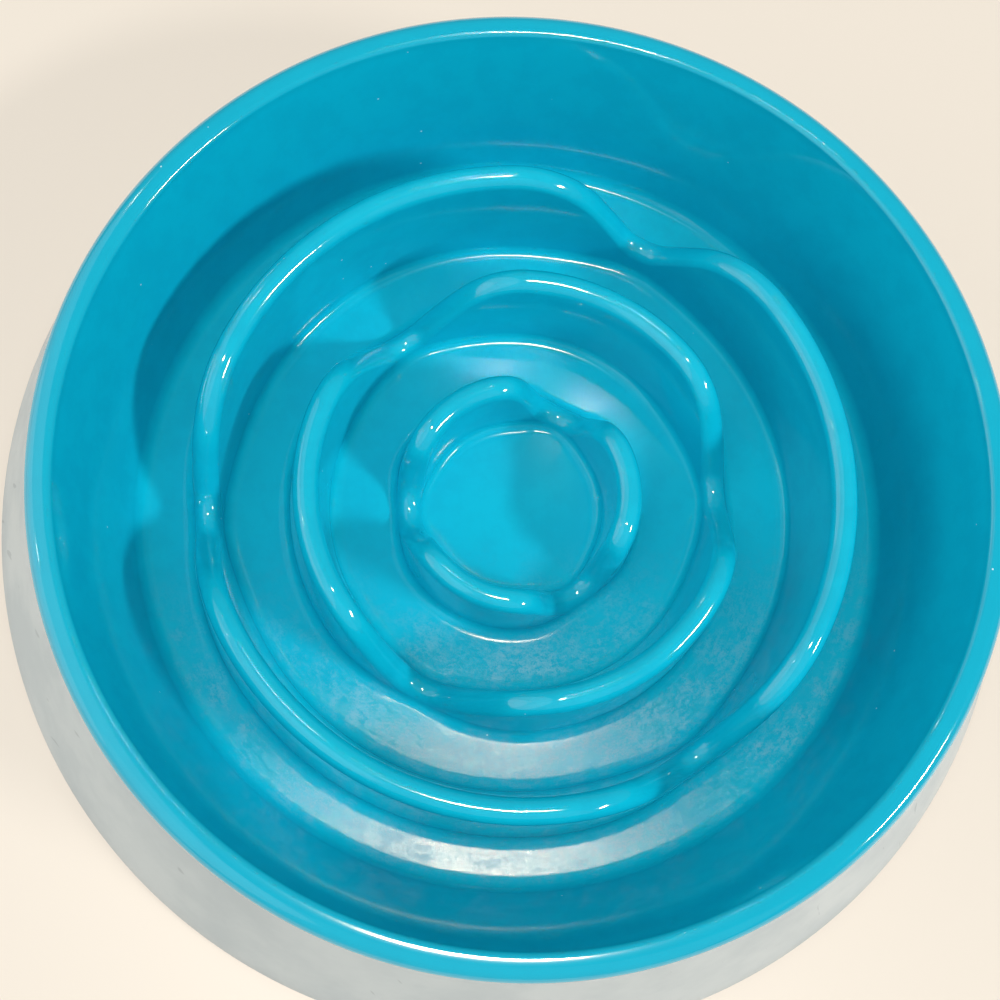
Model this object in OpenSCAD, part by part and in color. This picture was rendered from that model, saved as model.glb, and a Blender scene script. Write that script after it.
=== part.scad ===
// Slow feeder bowl: a moulded shell with three notched ring ridges in a flared stand, on rubber feet.
// Millimetres, +Z up, origin on the table under the middle of the bowl.

/* [Bowl] */
// Diameter across the rolled lip
bowl_d = 292; // [270:1:340]
// Height from the table to the top of the lip
bowl_h = 69; // [58:0.5:90]
// Height of the eating floor above the table
floor_z = 6.2; // [5.8:0.1:8]
// Thickness of the moulded wall
wall_t = 2.6; // [2:0.1:3]
// Lean of the inside wall away from upright, in degrees
wall_lean = 13.7; // [8:0.1:18]
// Fillet between the outer trough and the inside wall
wall_fillet_r = 5.2; // [3:0.1:8]

/* [Lip] */
// Radius of the rolled lip
lip_r = 4.6; // [3.8:0.1:6]
// Height of the lip, from its top to its lower edge
lip_drop = 11; // [9:0.5:14]
// Flare of the lip's outer side, in degrees
skirt_draft = 2; // [0.5:0.1:2.5]

/* [Stand] */
// Diameter of the stand's lower edge
stand_d = 334; // [318:1:360]
// Thickness of the stand's wall
stand_t = 2.6; // [2:0.1:3]
// Height of the stand's lower edge above the table
skirt_z = 1.5; // [1:0.1:2.4]
// Rounding of the stand's lower edge
stand_edge_r = 1; // [0.5:0.1:1.2]
// Clearance between the stand and the bowl's lip and ribs
stand_gap = 0.3; // [0.2:0.05:0.5]

/* [Ridges] */
// Distance from the lip's edge in to the outer ridge's crest line
outer_ridge_inset = 46.5; // [45:0.5:49]
// Distance from one ridge's crest line to the next
ridge_pitch = 32.3; // [30:0.1:34]
// Height of the outer ridge above the floor
outer_ridge_h = 45; // [36:0.5:52]
// Height of the middle ridge above the floor
middle_ridge_h = 37; // [30:0.5:44]
// Height of the inner ridge above the floor
inner_ridge_h = 28; // [23:0.5:36]
// Radius of the round top of every ridge
crest_r = 4.2; // [3.6:0.1:5]
// Draft of the ridges' sides, in degrees
ridge_draft = 4.2; // [2:0.1:6]
// Fillet where a ridge meets the floor
ridge_fillet_r = 3; // [2:0.1:3.6]

/* [Notches] */
// Height of the outer ridge at the bottom of its notches
outer_saddle_h = 12; // [6:0.5:18]
// Height of the middle ridge at the bottom of its notches
middle_saddle_h = 4.5; // [3:0.5:16]
// Height of the inner ridge at the bottom of its notches
inner_saddle_h = 4; // [3:0.5:14]
// Radius of the hollow at the bottom of a notch
saddle_r = 9; // [5:0.5:12]
// Slope of the ramps of the outer and middle ridges' notches, in degrees
ramp_angle = 52; // [40:1:60]
// Slope of the ramps of the inner ridge's notches, in degrees
inner_ramp_angle = 65; // [50:1:70]
// Radius of the outer ridge's shoulders beside its notches
outer_shoulder_r = 38; // [20:1:44]
// Radius of the middle ridge's shoulders beside its notches
middle_shoulder_r = 26; // [15:1:36]
// Radius of the inner ridge's shoulders beside its notches
inner_shoulder_r = 13; // [8:1:20]

/* [Feet] */
// Distance from the lip's edge in to the middle of a foot
foot_inset = 16; // [14:0.5:17]
// Diameter of a foot's pad
foot_d = 14; // [12:0.5:15]
// Thickness of a foot's pad
foot_t = 3; // [2.8:0.1:3.4]
// Diameter of a foot's stem
stem_d = 5.6; // [4:0.1:6]
// Length of a foot's stem
stem_l = 9; // [6:0.5:12]
// Rounding of a foot's edges
foot_edge_r = 0.8; // [0.4:0.1:1]
// Clearance round the stem in its socket
stem_gap = 0.1; // [0.05:0.05:0.2]
// Diameter of the post that holds a foot
post_d = 10.4; // [9:0.1:11]
// Thickness of the rib behind each post
rib_t = 1.8; // [1.2:0.1:2.4]
// Height of a rib's lower edge above the bottom of its post
rib_rise = 5; // [2:0.5:12]

/* [Hidden] */

// Notches round one ridge, and the turn from a notch to the full ridge between two notches.
NOTCHES = 3;
HALF_SECTOR = 180 / NOTCHES;

// The rolled lip's centre, the wall's foot and the radius of the flat floor.
lip_c = [bowl_d / 2 - lip_r, bowl_h - lip_r];
fillet_c_z = floor_z + wall_fillet_r;
wall_foot_z = fillet_c_z - wall_fillet_r * sin(wall_lean);
wall_foot_r = lip_c.x - lip_r * cos(wall_lean) - (lip_c.y + lip_r * sin(wall_lean) - wall_foot_z) * tan(wall_lean);
floor_r = wall_foot_r - wall_fillet_r * cos(wall_lean);
floor_under_z = floor_z - wall_t;
lip_edge_z = bowl_h - lip_drop;

// The stand's collar inside the lip, the top of its flared part, and the growth of its radius per
// millimetre down. The ribs end a wall below the flare's top.
collar_r = lip_c.x + lip_r - wall_t - stand_gap;
flare_top_z = lip_edge_z - stand_gap;
flare = (stand_d / 2 - collar_r) / (flare_top_z - skirt_z);
flare_w = stand_t * sqrt(1 + flare * flare);
rib_top_z = flare_top_z - wall_t;

// Radii of the crest lines.
outer_ridge_r = bowl_d / 2 - outer_ridge_inset;
middle_ridge_r = outer_ridge_r - ridge_pitch;
inner_ridge_r = middle_ridge_r - ridge_pitch;

// Radius of the circle that the feet stand on: under the wall, or nearer in where the stand is narrow.
stand_foot_in_r = stand_d / 2 - flare_w;
foot_circle_r = min(bowl_d / 2 - foot_inset, stand_foot_in_r - stand_gap - foot_d / 2);

// One row per ridge: crest radius, height, saddle height, shoulder radius, first notch's angle,
// steps beside a notch, steps between notches, slope of the ramps.
RIDGES = [
    [outer_ridge_r, outer_ridge_h, outer_saddle_h, outer_shoulder_r, HALF_SECTOR, 10, 3, ramp_angle],
    [middle_ridge_r, middle_ridge_h, middle_saddle_h, middle_shoulder_r, 0, 9, 3, ramp_angle],
    [inner_ridge_r, inner_ridge_h, inner_saddle_h, inner_shoulder_r, HALF_SECTOR, 8, 1, inner_ramp_angle]
];
// Feet, and the angle of the first
FEET = 6;
FIRST_FOOT = 180 / FEET;
// Depth of a foot's socket past the end of its stem
socket_spare = 1;
// Width of the flat rim that joins a ridge to the floor rings
flange_w = 1.2;
// Steps of a ridge's round top and fillets, and of the same curves in its hollow
top_steps = 6;
fillet_steps = 3;
hollow_top_steps = 2;
hollow_fillet_steps = 2;
// Steps of a quarter turn on the revolved shell
turn_steps = 6;

// Points of an arc round c from angle a0 to a1, both ends included.
function arc(c, r, a0, a1, steps) =
    [for (i = [0 : steps]) let (a = a0 + (a1 - a0) * i / steps) c + r * [cos(a), sin(a)]];

// Height of a ridge's crest at an arc length s from the middle of a notch: a round hollow, a straight
// ramp and a round shoulder.
function crest_height(ridge, s) =
    let (
        ramp = ridge[7],
        depth = ridge[1] - ridge[2],
        bend = 1 - cos(ramp),
        shoulder = min(ridge[3], depth / bend - saddle_r),
        s_hollow = saddle_r * sin(ramp),
        s_ramp = s_hollow + (depth - (saddle_r + shoulder) * bend) / tan(ramp),
        s_full = s_ramp + shoulder * sin(ramp)
    )
    s < s_hollow ? ridge[2] + saddle_r - sqrt(saddle_r * saddle_r - s * s)
    : s < s_ramp ? ridge[2] + saddle_r * bend + (s - s_hollow) * tan(ramp)
    : s < s_full ? ridge[1] - shoulder + sqrt(shoulder * shoulder - pow(s_full - s, 2))
    : ridge[1];

// Turn from the middle of a notch to where the ridge is at its full height.
function notch_turn(ridge) =
    let (
        ramp = ridge[7],
        depth = ridge[1] - ridge[2],
        bend = 1 - cos(ramp),
        shoulder = min(ridge[3], depth / bend - saddle_r),
        run = (saddle_r + shoulder) * sin(ramp) + (depth - (saddle_r + shoulder) * bend) / tan(ramp)
    )
    min(run / ridge[0] * 180 / PI, HALF_SECTOR * notch_limit_share);
notch_limit_share = 0.95;

// Lean of a ridge's sides: the draft, or more where the ridge is too low for a straight side, so that
// the fillet runs straight into the round top.
function side_lean(h) = max(ridge_draft, asin(max(0, 1 - h / (crest_r + ridge_fillet_r))));

// Half width of a ridge at the floor.
function foot_half_w(h) =
    let (lean = side_lean(h), base = crest_r + ridge_fillet_r)
    (base + (h - base) * sin(lean)) / cos(lean);

// One half of a ridge's upright section, from its foot on the floor up to the crest, for a wall side
// that lies off millimetres inside the outer face: x is measured from the crest line, z from the floor.
function half_section(h, off, f_steps, t_steps) =
    let (lean = side_lean(h))
    concat(
        arc([foot_half_w(h), ridge_fillet_r], ridge_fillet_r + off, 270, 180 + lean, f_steps),
        arc([0, h - crest_r], crest_r - off, lean, 90, t_steps / 2)
    );

// The closed section of a hollow ridge with its flat rims, as [radius, height] points.
function ridge_section(r, h, flange) =
    let (
        top = half_section(h, 0, fillet_steps, top_steps),
        hollow = half_section(h, wall_t, hollow_fillet_steps, hollow_top_steps),
        n = len(top) - 1,
        m = len(hollow) - 1
    )
    concat(
        [[r + flange, floor_z]],
        [for (i = [0 : n]) [r + top[i].x, floor_z + top[i].y]],
        [for (i = [n - 1 : -1 : 0]) [r - top[i].x, floor_z + top[i].y]],
        [[r - flange, floor_z], [r - flange, floor_under_z]],
        [for (i = [0 : m]) [r - hollow[i].x, floor_z + hollow[i].y]],
        [for (i = [m - 1 : -1 : 0]) [r + hollow[i].x, floor_z + hollow[i].y]],
        [[r + flange, floor_under_z]]
    );

// Half width of a ridge with its flat rim.
function flange_half_w(ridge) = foot_half_w(ridge[1]) + flange_w;

// Angles from one notch's middle to the next, closer together beside the notch.
function sector_angles(ridge) =
    let (turn = notch_turn(ridge), near = ridge[5], far = ridge[6])
    concat(
        [for (i = [0 : near - 1]) turn * i / near],
        [for (i = [0 : 2 * far - 1]) turn + (HALF_SECTOR - turn) * i / far],
        [for (i = [near : -1 : 1]) 2 * HALF_SECTOR - turn * i / near]
    );

// A ridge all the way round, with its notches.
module ridge_ring(ridge) {
    angles = [for (k = [0 : NOTCHES - 1]) for (a = sector_angles(ridge)) ridge[4] + k * 2 * HALF_SECTOR + a];
    sections = [for (a = angles)
        let (
            off = (a - ridge[4]) % (2 * HALF_SECTOR),
            s = min(off, 2 * HALF_SECTOR - off) * PI / 180 * ridge[0]
        )
        [for (p = ridge_section(ridge[0], crest_height(ridge, s), flange_half_w(ridge)))
            [p.x * cos(a), p.x * sin(a), p.y]]];
    n = len(angles);
    m = len(sections[0]);
    polyhedron(
        points = [for (section = sections) for (p = section) p],
        faces = [for (i = [0 : n - 1]) for (j = [0 : m - 1]) for (half = [0, 1])
            let (i2 = (i + 1) % n, j2 = (j + 1) % m)
            half == 0 ? [i * m + j, i * m + j2, i2 * m + j2] : [i * m + j, i2 * m + j2, i2 * m + j]]
    );
}

// Upright section of the shell's upper face, moved off millimetres into the wall: from the middle out
// over the floor, up the inside wall, over the lip and down its outer side.
function shell_face(off) =
    concat(
        [[0, floor_z - off]],
        arc([floor_r, fillet_c_z], wall_fillet_r + off, 270, 360 - wall_lean, turn_steps),
        arc(lip_c, lip_r - off, 180 - wall_lean, -skirt_draft, 2 * turn_steps),
        [[lip_c.x + (lip_r - off) / cos(skirt_draft) + (lip_c.y - lip_edge_z) * tan(skirt_draft), lip_edge_z]]
    );

// All that lies under one of the shell's faces.
module under_face(off) {
    face = shell_face(off);
    rotate_extrude() polygon(concat(face, [[face[len(face) - 1].x, skirt_z], [0, skirt_z]]));
}

module flat_ring(r_in, r_out) {
    translate([0, 0, floor_under_z]) rotate_extrude()
        translate([r_in, 0]) square([r_out - r_in, wall_t]);
}

// Lip, inside wall and outer trough.
module outer_shell() {
    face = shell_face(0);
    back = shell_face(wall_t);
    r_in = outer_ridge_r + foot_half_w(outer_ridge_h) + flange_w / 2;
    rotate_extrude() polygon(concat(
        [[r_in, floor_z]],
        [for (i = [1 : len(face) - 1]) face[i]],
        [for (i = [len(back) - 1 : -1 : 1]) back[i]],
        [[r_in, floor_under_z]]
    ));
}

// Flat floor between two ridges; it runs half a flange into each.
module floor_between(inner, outer) {
    flat_ring(inner[0] + foot_half_w(inner[1]) + flange_w / 2, outer[0] - foot_half_w(outer[1]) - flange_w / 2);
}

module at_each_foot() {
    for (i = [0 : FEET - 1]) rotate([0, 0, FIRST_FOOT + i * 360 / FEET]) translate([foot_circle_r, 0, 0]) children();
}

// Radius of the stand's inner face at a height on its flared part.
function flare_in_r(z) = collar_r + (flare_top_z - z) * flare - flare_w;

// The space inside the stand's flared part, less the clearance.
module inside_stand() {
    rotate_extrude() polygon([
        [0, skirt_z],
        [flare_in_r(skirt_z) - stand_gap, skirt_z],
        [flare_in_r(rib_top_z) - stand_gap, rib_top_z],
        [0, rib_top_z]
    ]);
}

// Posts for the feet, up to the middle of the wall, and ribs beside them that centre the stand.
module posts() {
    intersection() {
        at_each_foot() {
            translate([0, 0, foot_t]) cylinder(d = post_d, h = bowl_h);
            translate([0, -rib_t / 2, foot_t + rib_rise]) cube([stand_d / 2, rib_t, bowl_h]);
        }
        under_face(wall_t / 2);
        inside_stand();
    }
}

module bowl_shell() color("deepskyblue") {
    difference() {
        union() {
            outer_shell();
            for (ridge = RIDGES) ridge_ring(ridge);
            floor_between(RIDGES[1], RIDGES[0]);
            floor_between(RIDGES[2], RIDGES[1]);
            flat_ring(0, inner_ridge_r - foot_half_w(inner_ridge_h) - flange_w / 2);
            posts();
        }
        at_each_foot() cylinder(d = stem_d + 2 * stem_gap, h = foot_t + stem_l + socket_spare);
    }
}

// The flared stand: a collar inside the lip and a cone down to a rounded edge.
module stand() color("whitesmoke") {
    e = stand_edge_r;
    rotate_extrude() polygon(concat(
        [[collar_r - stand_t, lip_c.y], [collar_r, lip_c.y], [collar_r, flare_top_z]],
        arc([stand_d / 2 - e, skirt_z + e], e, atan(flare), -90, turn_steps),
        [
            [stand_foot_in_r, skirt_z],
            [collar_r - stand_t, flare_top_z - (flare_w - stand_t) / flare]
        ]
    ));
}

// A rubber foot: a pad with rounded edges and a stem with a tapered end.
module foot(k) color("dimgray") {
    edge = foot_edge_r;
    rotate([0, 0, FIRST_FOOT + (k - 1) * 360 / FEET]) translate([foot_circle_r, 0, 0])
        rotate_extrude() polygon(concat(
            [[0, 0]],
            arc([foot_d / 2 - edge, edge], edge, 270, 360, turn_steps),
            arc([foot_d / 2 - edge, foot_t - edge], edge, 0, 90, turn_steps),
            [
                [stem_d / 2, foot_t],
                [stem_d / 2, foot_t + stem_l - stem_d / 2],
                [stem_d / 4, foot_t + stem_l],
                [0, foot_t + stem_l]
            ]
        ));
}

bowl_shell();
stand();
foot(1);  // foot_1
foot(2);  // foot_2
foot(3);  // foot_3
foot(4);  // foot_4
foot(5);  // foot_5
foot(6);  // foot_6
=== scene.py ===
"""Looks of the slow feeder bowl: a glossy blue moulding in a pale flared stand, on rubber feet.

It is seen from above on a pale worktop. Metres, +Z up, origin on the table under the middle of the
bowl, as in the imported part.
"""

import logging
import math
from dataclasses import dataclass, field
from enum import Enum

import bpy
import numpy as np
from mathutils import Matrix, Vector

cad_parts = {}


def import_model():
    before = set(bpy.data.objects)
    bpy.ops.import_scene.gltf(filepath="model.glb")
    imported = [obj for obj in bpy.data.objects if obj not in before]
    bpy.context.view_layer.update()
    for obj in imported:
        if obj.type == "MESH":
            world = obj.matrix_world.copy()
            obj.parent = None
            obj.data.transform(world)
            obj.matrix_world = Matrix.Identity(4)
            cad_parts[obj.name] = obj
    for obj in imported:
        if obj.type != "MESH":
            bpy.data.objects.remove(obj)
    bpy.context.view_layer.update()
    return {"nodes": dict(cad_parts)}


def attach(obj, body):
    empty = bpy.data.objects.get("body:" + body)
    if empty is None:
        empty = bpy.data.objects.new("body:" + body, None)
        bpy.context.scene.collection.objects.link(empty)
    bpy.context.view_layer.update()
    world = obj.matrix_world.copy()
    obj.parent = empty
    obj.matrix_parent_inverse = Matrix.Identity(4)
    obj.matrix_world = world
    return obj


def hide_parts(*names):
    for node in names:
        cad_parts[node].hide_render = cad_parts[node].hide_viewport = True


LOG = logging.getLogger("feeder_bowl")
MM = 0.001
FULL_TURN = 2 * math.pi
MERGE_DISTANCE = 0.005 * MM
# The notches of each ridge repeat this many times round the bowl.
SECTORS = 3
# Places of a Mix node's two colour sockets, and of its colour result.
COLOUR_UNDER, COLOUR_OVER, COLOUR_RESULT = 6, 7, 2
# Share of a dot's radius, and of the share of cells that hold one, at which the fade starts.
DOT_CORE, SOWN_CORE = 0.5, 0.9
# A lamp that hangs higher than this, in degrees, lies along the X axis.
STEEP_RISE = 75.0

Point = tuple[float, float]
Span = tuple[float, float]
Steps = tuple[int, int, int]
Colour = tuple[float, float, float, float]
Light = tuple[float, float, float]

SOFT_WHITE: Light = (1.0, 0.98, 0.95)
STRAW: Light = (1.0, 0.94, 0.84)
WARM: Light = (1.0, 0.9, 0.78)
COOL: Light = (0.9, 0.97, 1.0)


class Operation(Enum):
    """Sums that a Math node can do."""

    ADD = "ADD"
    SUBTRACT = "SUBTRACT"
    MULTIPLY = "MULTIPLY"
    POWER = "POWER"
    ARCTAN2 = "ARCTAN2"


class Change(Enum):
    """Ways in which one solid changes another."""

    JOIN = "UNION"
    CUT = "DIFFERENCE"


@dataclass(frozen=True)
class Signal:
    """A number that varies over a surface, whose sums become Math nodes."""

    nodes: "Nodes"
    socket: bpy.types.NodeSocket

    def __add__(self, other: "Signal | float") -> "Signal":
        """Adds."""
        return self.nodes.maths(Operation.ADD, self, other)

    def __sub__(self, other: "Signal | float") -> "Signal":
        """Takes other away."""
        return self.nodes.maths(Operation.SUBTRACT, self, other)

    def __rsub__(self, other: "Signal | float") -> "Signal":
        """Takes this away from other."""
        return self.nodes.maths(Operation.SUBTRACT, other, self)

    def __mul__(self, other: "Signal | float") -> "Signal":
        """Multiplies."""
        return self.nodes.maths(Operation.MULTIPLY, self, other)

    def __pow__(self, other: float) -> "Signal":
        """Raises to a power."""
        return self.nodes.maths(Operation.POWER, self, other)

    def fade(self, start: float, end: float) -> "Signal":
        """Goes smoothly from 0 at start to 1 at end.

        Args:
            start: value of this signal where the result is 0.
            end: value of this signal where the result is 1.

        Returns:
            The faded signal.
        """
        if start > end:
            return 1.0 - self.fade(end, start)
        made = self.nodes.node(
            "ShaderNodeMapRange",
            {"interpolation_type": "SMOOTHSTEP"},
            {"Value": self, "From Min": start, "From Max": end},
        )
        return Signal(self.nodes, made.outputs["Result"])


@dataclass(frozen=True)
class Pattern:
    """Size, layers and contrast of a smooth random pattern."""

    scale: float
    detail: float
    roughness: float
    low: float = 0.0
    high: float = 1.0


@dataclass(frozen=True)
class Dots:
    """How dots are sown: cells to a metre, radius in cells, and share of cells with a dot."""

    scale: float
    size: float
    share: float


class Nodes:
    """The nodes of one material, made through a few plain methods."""

    def __init__(self, name: str) -> None:
        """Starts an empty material.

        Args:
            name: name of the material.
        """
        self.material = bpy.data.materials.new(name)
        self.material.use_nodes = True
        self.tree = self.material.node_tree
        self.tree.nodes.clear()

    def node(
        self,
        kind: str,
        settings: dict[str, object] | None = None,
        values: dict[str | int, object] | None = None,
    ) -> bpy.types.Node:
        """Adds one node.

        Args:
            kind: Blender's name of the node's type.
            settings: the node's own settings, set before its sockets.
            values: a number, colour, signal or socket for each named socket.

        Returns:
            The new node.
        """
        made = self.tree.nodes.new(kind)
        for key, value in (settings or {}).items():
            setattr(made, key, value)
        for key, value in (values or {}).items():
            self.feed(made.inputs[key], value)
        return made

    def feed(self, socket: bpy.types.NodeSocket, value: object) -> None:
        """Links or sets one socket.

        Args:
            socket: the socket to fill.
            value: a signal, a socket or a plain value.
        """
        if isinstance(value, Signal):
            value = value.socket
        if isinstance(value, bpy.types.NodeSocket):
            self.tree.links.new(value, socket)
        else:
            socket.default_value = value

    def maths(
        self, operation: Operation, first: "Signal | float", second: "Signal | float"
    ) -> Signal:
        """Adds one Math node.

        Args:
            operation: the sum to do.
            first: first number.
            second: second number.

        Returns:
            The result.
        """
        values = {0: first, 1: second}
        made = self.node("ShaderNodeMath", {"operation": operation.value}, values)
        return Signal(self, made.outputs[0])

    def mix(self, factor: "Signal | float", under: object, over: object) -> bpy.types.NodeSocket:
        """Lays one colour over another.

        Args:
            factor: how much of the second colour shows.
            under: first colour.
            over: second colour.

        Returns:
            The mixed colour.
        """
        made = self.node("ShaderNodeMix", {"data_type": "RGBA", "clamp_factor": True})
        self.feed(made.inputs["Factor"], factor)
        self.feed(made.inputs[COLOUR_UNDER], under)
        self.feed(made.inputs[COLOUR_OVER], over)
        return made.outputs[COLOUR_RESULT]

    def place(self) -> bpy.types.NodeSocket:
        """Gives the point on the piece, in metres."""
        return self.node("ShaderNodeTexCoord").outputs["Object"]

    def parts(self, vector: bpy.types.NodeSocket) -> tuple[Signal, Signal, Signal]:
        """Splits a vector into its three numbers."""
        made = self.node("ShaderNodeSeparateXYZ", values={0: vector})
        return tuple(Signal(self, socket) for socket in made.outputs)

    def vector(self, x: object, y: object, z: object) -> bpy.types.NodeSocket:
        """Joins three numbers into a vector."""
        return self.node("ShaderNodeCombineXYZ", values={0: x, 1: y, 2: z}).outputs[0]

    def noise(self, vector: bpy.types.NodeSocket, pattern: Pattern) -> Signal:
        """Gives a smooth random pattern about 0.5.

        Args:
            vector: where on the surface.
            pattern: its size and layers.

        Returns:
            The pattern.
        """
        values = {
            "Vector": vector,
            "Scale": pattern.scale,
            "Detail": pattern.detail,
            "Roughness": pattern.roughness,
        }
        return Signal(self, self.node("ShaderNodeTexNoise", values=values).outputs["Fac"])

    def patches(self, vector: bpy.types.NodeSocket, pattern: Pattern) -> Signal:
        """Gives a random pattern that goes from 0 to 1 between the pattern's two limits."""
        return self.noise(vector, pattern).fade(pattern.low, pattern.high)

    def dots(self, vector: bpy.types.NodeSocket, sown: Dots) -> Signal:
        """Gives small round dots, sown at random.

        Args:
            vector: where on the surface.
            sown: their size and number.

        Returns:
            The dots' mask.
        """
        cells = self.node("ShaderNodeTexVoronoi", values={"Vector": vector, "Scale": sown.scale})
        chosen = self.node("ShaderNodeSeparateColor", values={0: cells.outputs["Color"]})
        keep = Signal(self, chosen.outputs[0]).fade(sown.share, sown.share * SOWN_CORE)
        distance = Signal(self, cells.outputs["Distance"])
        return distance.fade(sown.size, sown.size * DOT_CORE) * keep

    def bump(
        self, height: Signal, strength: "Signal | float", distance: float
    ) -> bpy.types.NodeSocket:
        """Turns a height into a normal.

        Args:
            height: the height pattern.
            strength: how much of it shows.
            distance: height in metres of a value of 1.

        Returns:
            The normal.
        """
        values = {"Strength": strength, "Distance": distance, "Height": height}
        return self.node("ShaderNodeBump", values=values).outputs["Normal"]

    def finish(self, values: dict[str, object]) -> bpy.types.Material:
        """Closes the tree with a surface shader.

        Args:
            values: what goes into the shader's sockets.

        Returns:
            The material.
        """
        shader = self.node("ShaderNodeBsdfPrincipled", values=values)
        self.node("ShaderNodeOutputMaterial", values={"Surface": shader.outputs[0]})
        return self.material


@dataclass(frozen=True)
class MouldedPlastic:
    """Glossy blue plastic, matt on the floors where food is licked and scrubbed off."""

    floor_height: float
    blue: Colour = (0.0, 0.46, 0.65, 1.0)
    deep_blue: Colour = (0.0, 0.43, 0.62, 1.0)
    # painted shade: the lip's top gets a darker blue, though the whole moulding is one blue
    shaded_lip_blue: Colour = (0.0, 0.37, 0.54, 1.0)
    lip_shade_share: float = 0.6
    # partly real frosting from scrubbing and partly painted glare: the whitish haze is laid only
    # on the near floors, where the overhead lamp's glare shows
    frost_and_glare: Colour = (0.62, 0.68, 0.72, 1.0)
    frost_and_glare_share: float = 0.12
    frost_everywhere: float = 0.004
    speck: Colour = (0.60, 0.82, 0.88, 1.0)
    specks: Dots = Dots(210.0, 0.075, 0.05)
    glare: Colour = (1.0, 0.84, 0.68, 1.0)
    refraction: float = 1.5
    specular_level: float = 0.22
    gloss_roughness: float = 0.10
    scrubbed_roughness: float = 0.19
    coat_roughness: float = 0.05
    # Heights above the floor, places from the middle to the near side, and heights of the lip.
    floor_fade: Span = (1.4 * MM, 0.3 * MM)
    near_fade: Span = (-5.0 * MM, -75.0 * MM)
    lip_fade: Span = (64.5 * MM, 68.5 * MM)
    # Scales of the swept pattern round the bowl, outwards and upwards.
    sweep: tuple[float, float, float] = (22.0, 700.0, 500.0)
    swept: Pattern = Pattern(1.0, 4.0, 0.75)
    grain: Pattern = Pattern(1500.0, 3.0, 0.8)
    smears: Pattern = Pattern(260.0, 4.0, 0.7)
    clouds: Pattern = Pattern(75.0, 5.0, 0.7, 0.40, 0.62)
    cloudy_share: float = 0.6
    # Shares of grain, swept lines and smears in the film that scrubbing leaves.
    film_shares: tuple[float, float, float] = (0.35, 0.35, 0.3)
    film_fade: Span = (0.42, 0.58)
    film_roughness: float = 0.13
    film_relief: float = 0.6
    gloss_relief: float = 0.02
    relief_height: float = 0.05 * MM

    def material(self) -> bpy.types.Material:
        """Makes the material.

        Returns:
            The finished material.
        """
        n = Nodes("bowl_plastic")
        spot = n.place()
        _, y, height = n.parts(spot)
        floor = height.fade(*(self.floor_height + rise for rise in self.floor_fade))
        near = floor * y.fade(*self.near_fade)
        # mask of the lip's top, where painted shade darkens the blue
        lip = height.fade(*self.lip_fade)
        clouds = n.patches(spot, self.clouds)
        grain = n.noise(spot, self.grain)
        film = self.film(n, spot, grain)
        colour = n.mix(clouds, self.blue, self.deep_blue)
        # painted shade: darkens the blue on the lip's top
        colour = n.mix(lip * self.lip_shade_share, colour, self.shaded_lip_blue)
        # scrubbed frosting plus painted glare haze, strongest on the near floors
        frosted_and_glare = near * clouds * film * self.frost_and_glare_share + self.frost_everywhere
        colour = n.mix(frosted_and_glare, colour, self.frost_and_glare)
        colour = n.mix(n.dots(spot, self.specks), colour, self.speck)
        scrubbed = near * (self.scrubbed_roughness - self.gloss_roughness)
        rough = scrubbed * (clouds * self.cloudy_share + (1 - self.cloudy_share))
        rough = rough + self.gloss_roughness + near * (film - 0.5) * self.film_roughness
        return n.finish(
            {
                "Base Color": colour,
                "Roughness": rough,
                "IOR": self.refraction,
                "Specular IOR Level": self.specular_level,
                "Specular Tint": self.glare,
                "Coat Weight": 1.0 - floor,
                "Coat Roughness": self.coat_roughness,
                "Coat IOR": self.refraction,
                "Normal": n.bump(
                    grain, near * self.film_relief + self.gloss_relief, self.relief_height
                ),
            }
        )

    def film(self, n: Nodes, spot: bpy.types.NodeSocket, grain: Signal) -> Signal:
        """Gives the film that scrubbing leaves, which runs round the bowl.

        Args:
            n: the material's nodes.
            spot: where on the surface.
            grain: the finest pattern in it.

        Returns:
            The film's mask.
        """
        x, y, height = n.parts(spot)
        turn = n.maths(Operation.ARCTAN2, y, x)
        radius = (x * x + y * y) ** 0.5
        around, outwards, upwards = self.sweep
        swept = n.noise(n.vector(turn * around, radius * outwards, height * upwards), self.swept)
        smears = n.noise(spot, self.smears)
        fine, lines, coarse = self.film_shares
        return (grain * fine + swept * lines + smears * coarse).fade(*self.film_fade)


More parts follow.
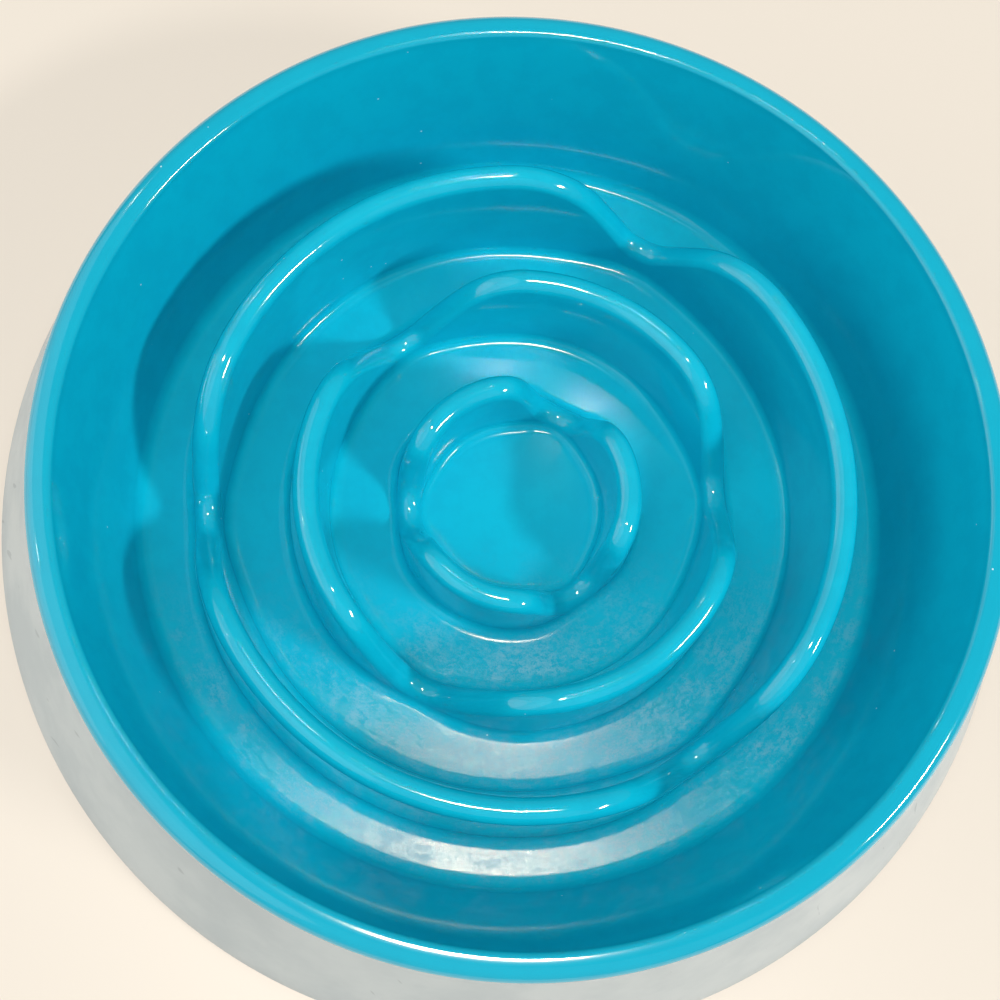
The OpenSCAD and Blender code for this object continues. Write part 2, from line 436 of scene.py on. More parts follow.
@dataclass(frozen=True)
class StandPlastic:
    """Pale grey plastic with a soft shine, small dark specks and fine scratches."""

    pale: Colour = (0.60, 0.645, 0.66, 1.0)
    dull: Colour = (0.50, 0.545, 0.565, 1.0)
    dirt: Colour = (0.22, 0.23, 0.24, 1.0)
    clouds: Pattern = Pattern(28.0, 4.0, 0.6, 0.35, 0.65)
    cloudy_share: float = 0.6
    # heights over which the stand's colour turns duller and darker towards its lower edge
    darker_low_fade: Span = (14.0 * MM, 2.0 * MM)
    darker_low_share: float = 0.2
    specks: Dots = Dots(120.0, 0.06, 0.05)
    speck_share: float = 0.8
    # Scales of the scratches' pattern across them, along them and upwards.
    across: Span = (300.0, 240.0)
    along: Span = (60.0, 45.0)
    upwards: float = 60.0
    scratches: Pattern = Pattern(1.0, 2.0, 0.5, 0.70, 0.76)
    scratch_share: float = 0.25
    roughness: float = 0.30
    cloudy_roughness: float = 0.12
    scratch_roughness: float = 0.15
    relief: float = 0.08
    relief_height: float = 0.03 * MM

    def material(self) -> bpy.types.Material:
        """Makes the material.

        Returns:
            The finished material.
        """
        n = Nodes("stand_plastic")
        spot = n.place()
        x, y, height = n.parts(spot)
        clouds = n.patches(spot, self.clouds)
        darker_low = height.fade(*self.darker_low_fade)
        across = x * self.across[0] + y * self.across[1]
        along = y * self.along[1] - x * self.along[0]
        scratch = n.noise(n.vector(across, along, height * self.upwards), self.scratches)
        mark = scratch.fade(self.scratches.low, self.scratches.high)
        # dull tone from random clouds, and darker towards the lower edge
        dull = clouds * self.cloudy_share + darker_low * self.darker_low_share
        colour = n.mix(dull, self.pale, self.dull)
        dirty = n.dots(spot, self.specks) * self.speck_share + mark * self.scratch_share
        colour = n.mix(dirty, colour, self.dirt)
        rough = clouds * self.cloudy_roughness + self.roughness + mark * self.scratch_roughness
        return n.finish(
            {
                "Base Color": colour,
                "Roughness": rough,
                "Normal": n.bump(scratch, self.relief, self.relief_height),
            }
        )


@dataclass(frozen=True)
class FootRubber:
    """Dull dark rubber with a fine moulded grain."""

    grey: Colour = (0.030, 0.031, 0.033, 1.0)
    dust: Colour = (0.11, 0.105, 0.10, 1.0)
    dusting: Pattern = Pattern(240.0, 5.0, 0.6, 0.46, 0.72)
    dust_share: float = 0.55
    roughness: float = 0.62
    dusty_roughness: float = 0.2
    grain: Pattern = Pattern(2600.0, 3.0, 0.6)
    relief: float = 0.5
    relief_height: float = 0.06 * MM

    def material(self) -> bpy.types.Material:
        """Makes the material.

        Returns:
            The finished material.
        """
        n = Nodes("foot_rubber")
        spot = n.place()
        dusty = n.patches(spot, self.dusting)
        grain = n.noise(spot, self.grain)
        return n.finish(
            {
                "Base Color": n.mix(dusty * self.dust_share, self.grey, self.dust),
                "Roughness": dusty * self.dusty_roughness + self.roughness,
                "Normal": n.bump(grain, self.relief, self.relief_height),
            }
        )


@dataclass(frozen=True)
class PaleWorktop:
    """The plain pale top that the bowl stands on, which glows only as it is seen."""

    warm_white: Colour = (0.36, 0.325, 0.28, 1.0)
    cloudy: Colour = (0.34, 0.305, 0.265, 1.0)
    glow: Colour = (0.47, 0.42, 0.37, 1.0)
    unlit: Colour = (0.0, 0.0, 0.0, 1.0)
    clouds: Pattern = Pattern(3.0, 2.0, 0.5)
    cloudy_share: float = 0.5
    roughness: float = 0.4

    def material(self) -> bpy.types.Material:
        """Makes the material.

        Returns:
            The finished material.
        """
        n = Nodes("pale_worktop")
        clouds = n.noise(n.place(), self.clouds)
        path = n.node("ShaderNodeLightPath").outputs
        seen = Signal(n, path["Is Camera Ray"]) + Signal(n, path["Is Glossy Ray"])
        return n.finish(
            {
                "Base Color": n.mix(clouds * self.cloudy_share, self.warm_white, self.cloudy),
                "Roughness": self.roughness,
                "Emission Color": n.mix(seen, self.unlit, self.glow),
                "Emission Strength": 1.0,
            }
        )


def arc(centre: Point, radius: float, start: float, end: float, steps: int) -> list[Point]:
    """Gives the points of an arc in an upright section.

    Args:
        centre: radius and height of the arc's centre.
        radius: radius of the arc.
        start: first angle, in degrees from outwards.
        end: last angle.
        steps: number of steps.

    Returns:
        The points, both ends included.
    """
    angles = [math.radians(start + (end - start) * i / steps) for i in range(steps + 1)]
    return [(centre[0] + radius * math.cos(a), centre[1] + radius * math.sin(a)) for a in angles]


def between(first: Point, last: Point, steps: int) -> list[Point]:
    """Gives the points between two points, both ends left out."""
    shares = [i / steps for i in range(1, steps)]
    return [tuple(a + (b - a) * share for a, b in zip(first, last)) for share in shares]


def deselect_all() -> None:
    """Leaves object mode with nothing selected."""
    if bpy.context.mode != "OBJECT":
        bpy.ops.object.mode_set(mode="OBJECT")
    bpy.ops.object.select_all(action="DESELECT")


def pick(piece: bpy.types.Object) -> None:
    """Makes one piece the selected and active one."""
    deselect_all()
    piece.select_set(True)
    bpy.context.view_layer.objects.active = piece


def combine(piece: bpy.types.Object, other: bpy.types.Object, change: Change) -> None:
    """Joins another object to a piece or cuts it out of it, and deletes the other object.

    Args:
        piece: the object that stays.
        other: the object that is used up.
        change: whether the other is joined or cut out.
    """
    pick(piece)
    bpy.ops.object.modifier_add(type="BOOLEAN")
    modifier = piece.modifiers[-1]
    modifier.operation = change.value
    modifier.solver = "EXACT"
    modifier.object = other
    bpy.ops.object.modifier_apply(modifier=modifier.name)
    pick(other)
    bpy.ops.object.delete()
    pick(piece)


def draw_section(name: str, outline: list[Point]) -> bpy.types.Object:
    """Draws a line through points in the upright plane, one extrusion after another.

    Args:
        name: name of the new object.
        outline: radius and height of each point.

    Returns:
        The line, as a mesh object.
    """
    deselect_all()
    bpy.ops.mesh.primitive_plane_add(size=MM, location=(outline[0][0], 0, outline[0][1]))
    piece = bpy.context.object
    piece.name = piece.data.name = name
    bpy.ops.object.mode_set(mode="EDIT")
    bpy.ops.mesh.select_all(action="SELECT")
    bpy.ops.mesh.merge(type="CENTER")
    for start, end in zip(outline[:-1], outline[1:]):
        step = (float(end[0] - start[0]), 0.0, float(end[1] - start[1]))
        bpy.ops.mesh.extrude_region_move(TRANSFORM_OT_translate={"value": step})
    bpy.ops.object.mode_set(mode="OBJECT")
    bpy.ops.object.transform_apply(location=True, rotation=True, scale=True)
    return piece


@dataclass
class Ridge:
    """One ring ridge with three notches, as a section whose height changes round the ring."""

    name: str
    radius: float
    height: float
    saddle_height: float
    shoulder_radius: float
    first_notch: float
    crest_radius: float = 4.2 * MM
    fillet_radius: float = 3.0 * MM
    draft: float = 4.2
    saddle_radius: float = 9.0 * MM
    ramp_angle: float = 52.0
    lead_width: float = 2.2 * MM
    lead_angle: float = 15.0
    lead_growth: float = 8.0 * MM

    def lead_slope(self, heights: np.ndarray) -> np.ndarray:
        """Gives the slope, in radians, at which the lead-in from the floor meets the fillet."""
        spare = heights - self.crest_radius - self.fillet_radius
        return math.radians(self.lead_angle) * np.clip(spare / self.lead_growth, 0, 1)

    def lead_in(self, angles: np.ndarray, share: float) -> tuple[float, np.ndarray]:
        """Gives one line of the lead-in.

        Args:
            angles: angles round the bowl.
            share: 0 where it meets the fillet and 1 where it meets the flat floor.

        Returns:
            Distance from the fillet, and height above the floor for each angle.
        """
        rise = np.tan(self.lead_slope(self.crest_heights(angles))) * self.lead_width / 2
        return share * self.lead_width, rise * (1 - share) ** 2

    def crest_heights(self, angles: np.ndarray) -> np.ndarray:
        """Gives the height of the crest above the floor.

        It is a round hollow, a straight ramp and a round shoulder.

        Args:
            angles: angles round the bowl, in radians.

        Returns:
            One height for each angle.
        """
        sector = FULL_TURN / SECTORS
        turn = np.mod(angles - math.radians(self.first_notch), sector)
        s = np.minimum(turn, sector - turn) * self.radius
        ramp = math.radians(self.ramp_angle)
        bend = 1 - math.cos(ramp)
        depth = self.height - self.saddle_height
        shoulder = min(self.shoulder_radius, depth / bend - self.saddle_radius)
        hollow_end = self.saddle_radius * math.sin(ramp)
        ramp_end = hollow_end + (depth - (self.saddle_radius + shoulder) * bend) / math.tan(ramp)
        full = ramp_end + shoulder * math.sin(ramp)
        low = self.saddle_height
        hollow = low + self.saddle_radius - np.sqrt(np.maximum(self.saddle_radius**2 - s**2, 0))
        slope = low + self.saddle_radius * bend + (s - hollow_end) * math.tan(ramp)
        round_top = self.height - shoulder + np.sqrt(np.maximum(shoulder**2 - (full - s) ** 2, 0))
        tests = [s < hollow_end, s < ramp_end, s < full]
        return np.select(tests, [hollow, slope, round_top], self.height)

    def side(self, heights: np.ndarray, inset: float, steps: Steps) -> np.ndarray:
        """Gives one side of the section, from its foot up to the crest.

        Args:
            heights: height of the crest at each angle.
            inset: how far inside the outer face it runs.
            steps: steps of the fillet, the straight side and the round top.

        Returns:
            Distance from the crest line and height above the floor, for each angle and point.
        """
        base = self.crest_radius + self.fillet_radius
        lean = np.maximum(math.radians(self.draft), np.arcsin(np.clip(1 - heights / base, 0, 1)))
        foot_x = (base + (heights - base) * np.sin(lean)) / np.cos(lean)
        rounds, straights, tops = steps
        low_radius = self.fillet_radius + inset
        top_radius = self.crest_radius - inset
        lead = self.lead_slope(heights) * (inset == 0)
        low_z = self.fillet_radius * np.cos(lead) + np.tan(lead) * self.lead_width / 2
        points = []
        for share in np.linspace(0, 1, rounds + 1):
            turn = 1.5 * math.pi - lead + share * (lean - math.pi / 2 + lead)
            points.append((foot_x + low_radius * np.cos(turn), low_z + low_radius * np.sin(turn)))
        top = []
        for share in np.linspace(0, 1, tops + 1):
            turn = lean + share * (math.pi / 2 - lean)
            rise = heights - self.crest_radius + top_radius * np.sin(turn)
            top.append((top_radius * np.cos(turn), rise))
        return np.array(points + between(points[-1], top[0], straights) + top).transpose(2, 0, 1)

    def section(self, angles: np.ndarray, inset: float, steps: Steps) -> np.ndarray:
        """Gives the whole section from its inner foot over the crest to its outer foot.

        Args:
            angles: angles round the bowl.
            inset: how far inside the outer face it runs.
            steps: steps of the fillet, the straight side and the round top.

        Returns:
            Radius and height above the floor, for each angle and point.
        """
        half = self.side(self.crest_heights(angles), inset, steps)
        inner = half * np.array([-1.0, 1.0])
        both = np.concatenate([inner, half[:, -2::-1]], axis=1)
        both[:, :, 0] += self.radius
        return both


@dataclass
class BowlShell:
    """The blue moulding: floor, three notched ridges, wall and rolled lip, hollow below."""

    diameter: float = 292.0 * MM
    height: float = 69.0 * MM
    floor_height: float = 6.2 * MM
    wall: float = 2.6 * MM
    wall_lean: float = 13.7
    wall_fillet: float = 5.2 * MM
    lip_radius: float = 4.6 * MM
    lip_inner_radius: float = 1.8 * MM
    skirt_draft: float = 2.0
    lip_drop: float = 11.0 * MM
    edge_radius: float = 0.5 * MM
    wall_support: float = 0.6 * MM
    sector_steps: int = 108
    smooth_angle: float = 42.0
    # Steps of a ridge's fillet, straight side and round top, on the upper face and the underside.
    upper_steps: Steps = (5, 4, 10)
    lower_steps: Steps = (3, 3, 4)
    # Steps of the wall's fillet and of the lip, on the upper face and the underside.
    upper_rim_steps: tuple[int, int] = (8, 18)
    lower_rim_steps: tuple[int, int] = (5, 8)
    wall_steps: int = 5
    skirt_steps: int = 2
    edge_steps: int = 3
    # Lines of a lead-in as shares of its width, and of a flat floor as shares of its width.
    lead_shares: tuple[float, ...] = (0.2, 0.4, 0.6, 0.8, 1.0)
    flat_shares: tuple[float, ...] = (1 / 3, 2 / 3)
    ridges: list[Ridge] = field(default_factory=lambda: [
        Ridge("inner", 34.9 * MM, 28.0 * MM, 4.0 * MM, 13.0 * MM, 60.0, ramp_angle=65.0),
        Ridge("middle", 67.2 * MM, 37.0 * MM, 4.5 * MM, 26.0 * MM, 0.0),
        Ridge("outer", 99.5 * MM, 45.0 * MM, 12.0 * MM, 38.0 * MM, 60.0),
    ])

    def rim_section(self, inset: float, fillet_steps: int, lip_steps: int) -> list[Point]:
        """Gives the section of the wall and the lip.

        Args:
            inset: how far inside the upper face it runs.
            fillet_steps: steps of the fillet at the wall's foot.
            lip_steps: steps of the rolled lip.

        Returns:
            Radius and height of each point, from the flat floor outwards.
        """
        lean = math.radians(self.wall_lean)
        lip = (self.diameter / 2 - self.lip_radius, self.height - self.lip_radius)
        fillet_z = self.floor_height + self.wall_fillet
        foot_z = fillet_z - self.wall_fillet * math.sin(lean)
        foot_r = lip[0] - self.lip_radius * math.cos(lean)
        foot_r -= (lip[1] + self.lip_radius * math.sin(lean) - foot_z) * math.tan(lean)
        floor_r = foot_r - self.wall_fillet * math.cos(lean)
        flare = math.radians(self.skirt_draft)
        fillet_end = 360 - self.wall_lean
        fillet = arc((floor_r, fillet_z), self.wall_fillet + inset, 270, fillet_end, fillet_steps)
        wall_top = self.roll(lip, inset, lip_steps)
        edge = self.height - self.lip_drop
        end_r = lip[0] + (self.lip_radius - inset) / math.cos(flare)
        end_r += (lip[1] - edge) * math.tan(flare)
        wall = between(fillet[-1], wall_top[0], self.wall_steps)
        skirt = between(wall_top[-1], (end_r, edge), self.skirt_steps)
        return fillet + wall + wall_top + skirt + [(end_r, edge)]

    def roll(self, lip: Point, inset: float, steps: int) -> list[Point]:
        """Gives the lip's top: a tight bend above the wall, a flat strip and the round outer side.

        Args:
            lip: radius and height of the centre of the round outer side.
            inset: how far inside the upper face it runs.
            steps: steps of the whole roll.

        Returns:
            Radius and height of each point, from the wall outwards.
        """
        side_angle = 180 - self.wall_lean
        if inset > 0:
            return arc(lip, self.lip_radius - inset, side_angle, -self.skirt_draft, steps)
        lean = math.radians(self.wall_lean)
        bend = self.lip_inner_radius
        spare = self.lip_radius - bend
        centre = (lip[0] - spare * (1 - math.sin(lean)) / math.cos(lean), lip[1] + spare)
        start = arc(centre, bend, side_angle, 90, steps // 2)
        return start + arc(lip, self.lip_radius, 90, -self.skirt_draft, steps - steps // 2 - 1)

    def lip_edge(self, outer: Point, inner: Point) -> list[Point]:
        """Gives the rounded lower edge of the lip.

        Args:
            outer: where the outer face ends.
            inner: where the inner face ends.

        Returns:
            Radius and height of the points that take the place of both ends.
        """
        r = self.edge_radius
        outside = arc((outer[0] - r, outer[1] + r), r, 0, -90, self.edge_steps)
        return outside + arc((inner[0] + r, inner[1] + r), r, 270, 180, self.edge_steps)

    def face(self, angles: np.ndarray, inset: float, steps: Steps) -> np.ndarray:
        """Gives the floor and ridges of one face, from the axis out to the last ridge's foot.

        Only the upper face, whose inset is 0, has the gentle lead-ins to its ridges.

        Args:
            angles: angles round the bowl.
            inset: how far inside the upper face it runs.
            steps: steps of a ridge's fillet, straight side and round top.

        Returns:
            Radius and height, for each angle and point.
        """
        upper = inset == 0
        floor_z = self.floor_height - inset
        rows = [np.tile([[0.0, floor_z]], (len(angles), 1, 1))]
        last = 0 * angles
        for ridge in self.ridges:
            section = ridge.section(angles, inset, steps) + np.array([0.0, self.floor_height])
            first = section[:, 0, 0]
            reach = ridge.lead_width * upper
            low = last + reach * (ridge is not self.ridges[0])
            for share in self.flat_shares:
                flat = low + (first - reach - low) * share
                rows.append(np.stack([flat, floor_z + 0 * first], axis=-1)[:, None])
            last = section[:, -1, 0]
            if upper:
                inner_lead = self.lead_lines(ridge, angles, first, -1)[:, ::-1]
                rows += [inner_lead, section, self.lead_lines(ridge, angles, last, 1)]
            else:
                rows.append(section)
        return np.concatenate(rows, axis=1)

    def lead_lines(
        self, ridge: Ridge, angles: np.ndarray, foot: np.ndarray, outwards: int
    ) -> np.ndarray:
        """Gives the lead-in on one side of a ridge, from its fillet to the flat floor.

        Args:
            ridge: the ridge.
            angles: angles round the bowl.
            foot: radius of the fillet's lower end at each angle.
            outwards: 1 on the ridge's outer side and -1 on its inner side.

        Returns:
            Radius and height, for each angle and line.
        """
        lines = []
        for share in self.lead_shares:
            away, rise = ridge.lead_in(angles, share)
            lines.append(np.stack([foot + outwards * away, self.floor_height + rise], axis=-1))
        return np.stack(lines, axis=1)

    def loop(self, angles: np.ndarray) -> np.ndarray:
        """Gives the whole closed section at each angle.

        Args:
            angles: angles round the bowl.

        Returns:
            Radius and height, for each angle and point, from the axis over the top, round the lip
            and back to the axis along the underside.
        """
        upper = self.face(angles, 0.0, self.upper_steps)
        lower = self.face(angles, self.wall, self.lower_steps)
        rim = self.rim_section(0.0, *self.upper_rim_steps)
        back = self.rim_section(self.wall, *self.lower_rim_steps)
        edge = self.lip_edge(rim[-1], back[-1])
        trough_out = [(rim[0][0] - self.wall_support, self.floor_height)]
        fixed = trough_out + rim[:-1] + edge + back[-2::-1]
        outer = np.tile(np.array(fixed)[None], (len(angles), 1, 1))
        middle = (upper[:, -1:] + outer[:, :1]) / 2
        return np.concatenate([upper, middle, outer, lower[:, ::-1]], axis=1)

    def build(self) -> bpy.types.Object:
        """Draws the section, spins it a third of a turn, copies it twice and sets the notches.

        Returns:
            The moulding, closed, with its faces outwards.
        """
        outline = self.loop(np.array([0.0]))[0]
        piece = draw_section("bowl_moulding", outline)
        station = piece.data.attributes.new("station", "INT", "POINT")
        drawn = np.array([[v.co.x, v.co.z] for v in piece.data.vertices])
        gaps = np.linalg.norm(drawn[:, None] - outline[None], axis=-1)
        station.data.foreach_set("value", gaps.argmin(axis=1).astype(np.int32))
        sector = FULL_TURN / SECTORS
        bpy.ops.object.mode_set(mode="EDIT")
        bpy.ops.mesh.select_all(action="SELECT")
        bpy.ops.mesh.spin(
            steps=self.sector_steps, angle=sector, center=(0, 0, 0), axis=(0, 0, 1))
        bpy.ops.mesh.select_all(action="SELECT")
        for _ in range(SECTORS - 1):
            bpy.ops.mesh.duplicate()
            bpy.ops.transform.rotate(
                value=sector, orient_axis="Z", center_override=(0, 0, 0))
        bpy.ops.mesh.select_all(action="SELECT")
        bpy.ops.mesh.remove_doubles(threshold=MERGE_DISTANCE)
        bpy.ops.mesh.normals_make_consistent(inside=False)
        bpy.ops.object.mode_set(mode="OBJECT")
        self.set_notches(piece)
        combine(piece, FootPosts().build(self.wall_point(), self.wall_lean), Change.JOIN)
        bpy.ops.object.shade_smooth_by_angle(angle=math.radians(self.smooth_angle))
        return piece

    def wall_point(self) -> Point:
        """Gives the first point on the straight part of the wall, midway through its thickness."""
        fillet_steps = 2
        return self.rim_section(self.wall / 2, fillet_steps, 2)[fillet_steps + 1]

    def set_notches(self, piece: bpy.types.Object) -> None:
        """Moves each point of the spun section to its place on the notched ridges.

        Args:
            piece: the spun shell, whose points know their station on the section.
        """
        mesh = piece.data
        count = len(mesh.vertices)
        stations = np.zeros(count, np.int32)
        mesh.attributes["station"].data.foreach_get("value", stations)
        points = np.zeros(count * 3)
        mesh.vertices.foreach_get("co", points)
        points = points.reshape(-1, 3)
        turns = np.arctan2(points[:, 1], points[:, 0])
        steps = self.sector_steps * SECTORS
        index = np.mod(np.round(turns / FULL_TURN * steps).astype(int), steps)
        angles = np.arange(steps) * FULL_TURN / steps
        radii, heights = self.loop(angles)[index, stations].T
        turned = angles[index]
        points = np.stack([radii * np.cos(turned), radii * np.sin(turned), heights], axis=-1)
        mesh.vertices.foreach_set("co", points.ravel())
        mesh.attributes.remove(mesh.attributes["station"])
        mesh.update()


@dataclass
class FootPosts:
    """Six hollow posts under the wall that hold the feet, with ribs that centre the stand."""

    circle_radius: float = 130.0 * MM
    radius: float = 5.2 * MM
    start: float = 3.0 * MM
    top: float = 60.0 * MM
    socket_radius: float = 2.9 * MM
    socket_top: float = 13.0 * MM
    rib_thickness: float = 1.8 * MM
    rib_start: float = 8.0 * MM
    rib_top: float = 55.1 * MM
    rib_end: float = 144.9 * MM
    rib_tip: float = 141.08 * MM
    stand_lean: float = 23.04
    first_turn: float = 30.0
    count: int = 6
    sides: int = 40

    def drum(self, radius: float, low: float, high: float) -> bpy.types.Object:
        """Makes one upright cylinder on the feet's circle.

        Args:
            radius: its radius.
            low: height of its lower end.
            high: height of its upper end.

        Returns:
            The cylinder.
        """
        deselect_all()
        bpy.ops.mesh.primitive_cylinder_add(
            vertices=self.sides, radius=radius, depth=high - low,
            location=(self.circle_radius, 0, (low + high) / 2))
        return bpy.context.object

    def rib(self) -> bpy.types.Object:
        """Makes the rib that reaches from a post towards the stand.

        Returns:
            The rib, as a plain box.
        """
        length = self.rib_end - self.circle_radius
        height = self.rib_top - self.rib_start
        deselect_all()
        bpy.ops.mesh.primitive_cube_add(
            size=1, location=(self.circle_radius + length / 2, 0, self.rib_start + height / 2),
            scale=(length, self.rib_thickness, height))
        bpy.ops.object.transform_apply(location=True, rotation=True, scale=True)
        return bpy.context.object

    def build(self, wall_point: Point, wall_lean: float) -> bpy.types.Object:
        """Makes all posts and ribs, cut off inside the leaning wall and clear of the stand.

        Args:
            wall_point: radius and height of a point in the middle of the wall.
            wall_lean: lean of the wall from upright, in degrees.

        Returns:
            The posts as one object.
        """
        post = self.drum(self.radius, self.start, self.top)
        combine(post, self.rib(), Change.JOIN)
        combine(post, self.drum(self.socket_radius, 0.0, self.socket_top), Change.CUT)
        lean = math.radians(wall_lean)
        flare = math.radians(self.stand_lean)
        pick(post)
        bpy.ops.object.mode_set(mode="EDIT")
        bpy.ops.mesh.select_all(action="SELECT")
        bpy.ops.mesh.bisect(
            plane_co=(wall_point[0], 0, wall_point[1]),
            plane_no=(-math.cos(lean), 0, math.sin(lean)),
            use_fill=True, clear_outer=True)
        bpy.ops.mesh.select_all(action="SELECT")
        bpy.ops.mesh.bisect(
            plane_co=(self.rib_tip, 0, self.rib_top),
            plane_no=(math.cos(flare), 0, math.sin(flare)),
            use_fill=True, clear_outer=True)
        bpy.ops.mesh.select_all(action="SELECT")
        bpy.ops.transform.rotate(
            value=math.radians(self.first_turn), orient_axis="Z", center_override=(0, 0, 0))
        bpy.ops.mesh.spin(
            steps=self.count, angle=FULL_TURN, dupli=True, use_normal_flip=False,
            center=(0, 0, 0), axis=(0, 0, 1))
        bpy.ops.mesh.select_all(action="SELECT")
        bpy.ops.mesh.remove_doubles(threshold=MERGE_DISTANCE)
        bpy.ops.mesh.normals_make_consistent(inside=False)
        bpy.ops.object.mode_set(mode="OBJECT")
        return post


@dataclass
class Stand:
    """The pale stand: a collar inside the bowl's lip and a cone down to a rounded edge."""

    collar_radius: float = 143.1 * MM
    collar_top: float = 64.4 * MM
    flare_top: float = 57.7 * MM
    foot_radius: float = 167.0 * MM
    foot_height: float = 1.5 * MM
    wall: float = 2.6 * MM
    edge_radius: float = 1.0 * MM
    soft_edge: float = 0.4 * MM
    bend_radius: float = 5.0 * MM
    turn_steps: int = 256
    smooth_angle: float = 40.0
    # Steps of the soft edges, the bend, the rounded edge, the outer side and the inner side.
    soft_steps: int = 3
    bend_steps: int = 5
    edge_steps: int = 6
    outer_steps: int = 12
    inner_steps: int = 8

    def outline(self) -> list[Point]:
        """Gives the closed section: the collar's top, down the outside and up the inside.

        Returns:
            Radius and height of each point; the last one is the first again.
        """
        drop = self.flare_top - self.foot_height
        flare = (self.foot_radius - self.collar_radius) / drop
        lean = math.degrees(math.atan(flare))
        across = self.wall * math.hypot(1, flare)
        soft, edge = self.soft_edge, self.edge_radius
        inside = self.collar_radius - self.wall
        soft_z = self.collar_top - soft
        top = arc((inside + soft, soft_z), soft, 180, 90, self.soft_steps)
        top += arc((self.collar_radius - soft, soft_z), soft, 90, 0, self.soft_steps)
        reach = self.bend_radius * math.tan(math.radians(lean / 2))
        bend_centre = (self.collar_radius + self.bend_radius, self.flare_top + reach)
        bend = arc(bend_centre, self.bend_radius, 180, 180 + lean, self.bend_steps)
        edge_centre = (self.foot_radius - edge, self.foot_height + edge)
        foot = arc(edge_centre, edge, lean, -90, self.edge_steps)
        inner_centre = (self.foot_radius - across + soft, self.foot_height + soft)
        foot += arc(inner_centre, soft, 270, 180 + lean, self.soft_steps)
        inner_bend = (inside, self.flare_top - (across - self.wall) / flare)
        down = between(bend[-1], foot[0], self.outer_steps)
        up = between(foot[-1], inner_bend, self.inner_steps)
        inner_top = (inside, self.collar_top - 2 * soft)
        return top + bend + down + foot + up + [inner_bend, inner_top, top[0]]

    def build(self) -> bpy.types.Object:
        """Spins the section into the stand.

        Returns:
            The stand, closed, with its faces outwards.
        """
        piece = draw_section("bowl_stand", self.outline())
        pick(piece)
        bpy.ops.object.mode_set(mode="EDIT")
        bpy.ops.mesh.select_all(action="SELECT")
        bpy.ops.mesh.remove_doubles(threshold=MERGE_DISTANCE)
        bpy.ops.mesh.select_all(action="SELECT")
        bpy.ops.mesh.spin(steps=self.turn_steps, angle=FULL_TURN, center=(0, 0, 0), axis=(0, 0, 1))
        bpy.ops.mesh.select_all(action="SELECT")
        bpy.ops.mesh.remove_doubles(threshold=MERGE_DISTANCE)
        bpy.ops.mesh.normals_make_consistent(inside=False)
        bpy.ops.object.mode_set(mode="OBJECT")
        bpy.ops.object.shade_smooth_by_angle(angle=math.radians(self.smooth_angle))
        return piece


@dataclass(frozen=True)
class Lamp:
    """One round or oval lamp far off, aimed at the bowl.

    Its turn round the bowl, its rise over the worktop and its spread as seen from the bowl are in
    degrees. Its level is how bright a white surface turned to it becomes, and its slimness is its
    height as seen, as a share of its width.
    """

    name: str
    turn: float
    rise: float
    spread: float
    level: float
    colour: Light = SOFT_WHITE
    slimness: float = 1.0
    distance: float = 6.0

    def hang(self) -> None:
        """Adds the lamp to the scene, in its place and turned to the bowl."""
        turn, rise = math.radians(self.turn), math.radians(self.rise)
        half_spread = math.radians(self.spread / 2)
        flat = self.distance * math.cos(rise)
        place = (flat * math.cos(turn), flat * math.sin(turn), self.distance * math.sin(rise))
        data = bpy.data.lights.new(self.name, "AREA")
        data.shape = "ELLIPSE"
        data.size = 2 * self.distance * math.tan(half_spread)
        data.size_y = data.size * self.slimness
        data.energy = self.level * (math.pi * self.distance / math.cos(half_spread)) ** 2
        data.color = self.colour
        lamp = bpy.data.objects.new(self.name, data)
        bpy.context.scene.collection.objects.link(lamp)
        lamp.location = place
        towards = -Vector(place).normalized()
        level_line = towards.cross(Vector((0, 0, 1)))
        across = Vector((1, 0, 0)) if self.rise > STEEP_RISE else level_line
        upwards = across.cross(towards).normalized()
        across = towards.cross(upwards)
        lamp.rotation_euler = Matrix((across, upwards, -towards)).transposed().to_euler()


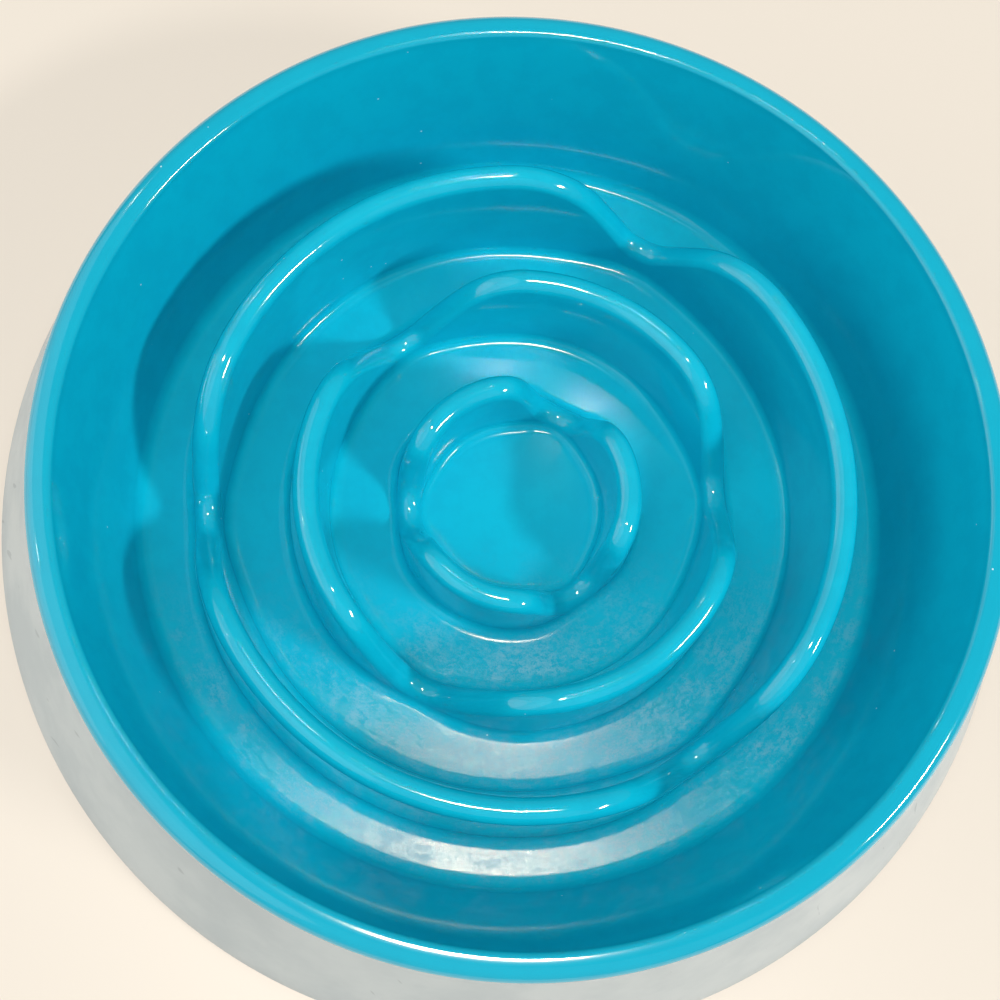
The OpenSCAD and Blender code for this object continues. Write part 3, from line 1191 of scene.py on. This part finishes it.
@dataclass
class Studio:
    """Worktop, soft light and the camera above the bowl."""

    camera_place: tuple[float, float, float] = (-0.05001, -0.10692, 0.49066)
    camera_forward: tuple[float, float, float] = (0.09151, 0.22092, -0.97099)
    camera_up: tuple[float, float, float] = (0.05317, 0.97259, 0.22630)
    lens: float = 54.0
    sensor: float = 36.0
    worktop_size: float = 4.0
    sky: Colour = (0.70, 0.95, 1.0, 1.0)
    sky_level: float = 0.23
    lamps: tuple[Lamp, ...] = (
        Lamp("key", -28.0, 37.0, 14.0, 0.51, slimness=0.35),
        Lamp("overhead", -36.2, 86.0, 7.0, 0.44, STRAW, slimness=0.3),
        Lamp("back", 60.5, 71.6, 1.2, 0.008, WARM),
        Lamp("back_left", 73.0, 71.2, 1.5, 0.005, WARM, slimness=0.5),
        Lamp("far_left", 122.0, 46.0, 1.8, 0.012, COOL),
        Lamp("left", 168.0, 48.0, 1.8, 0.012, COOL),
        Lamp("left_room", 180.0, 35.0, 90.0, 0.28),
        Lamp("left_low", 175.0, 20.0, 50.0, 0.12),
        Lamp("near_room", -105.0, 35.0, 90.0, 0.09),
    )

    def camera(self) -> None:
        """Puts the camera where the bowl was seen from."""
        data = bpy.data.cameras.new("view")
        data.lens = self.lens
        data.sensor_width = self.sensor
        eye = bpy.data.objects.new("view", data)
        bpy.context.scene.collection.objects.link(eye)
        back = -Vector(self.camera_forward).normalized()
        right = Vector(self.camera_up).cross(back).normalized()
        up = back.cross(right)
        turn = Matrix((right, up, back)).transposed().to_4x4()
        eye.matrix_world = Matrix.Translation(self.camera_place) @ turn
        bpy.context.scene.camera = eye

    def build(self) -> None:
        """Sets the worktop, the world, the lamps and the camera."""
        deselect_all()
        bpy.ops.mesh.primitive_plane_add(size=self.worktop_size)
        worktop = bpy.context.object
        worktop.name = "worktop"
        worktop.data.materials.append(PaleWorktop().material())
        world = bpy.data.worlds.new("soft_room")
        world.use_nodes = True
        sky = world.node_tree.nodes["Background"]
        sky.inputs["Color"].default_value = self.sky
        sky.inputs["Strength"].default_value = self.sky_level
        bpy.context.scene.world = world
        for lamp in self.lamps:
            lamp.hang()
        self.camera()
        bpy.context.scene.view_settings.view_transform = "Standard"


def main() -> None:
    """Loads the frame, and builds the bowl's pieces and the studio."""
    logging.basicConfig(level=logging.INFO, format="%(name)s: %(message)s")
    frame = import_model()
    shell = BowlShell()
    moulding = shell.build()
    moulding.data.materials.append(MouldedPlastic(shell.floor_height).material())
    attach(moulding, "root")
    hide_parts("bowl_shell")
    LOG.info("%s: %d faces", moulding.name, len(moulding.data.polygons))
    stand = Stand().build()
    stand.data.materials.append(StandPlastic().material())
    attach(stand, "root")
    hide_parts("stand")
    LOG.info("%s: %d faces", stand.name, len(stand.data.polygons))
    rubber = FootRubber().material()
    for name, node in frame["nodes"].items():
        if name.startswith("foot_"):
            node.data.materials.clear()
            node.data.materials.append(rubber)
            LOG.info("%s: carried over", name)
    Studio().build()


if __name__ == "__main__":
    main()
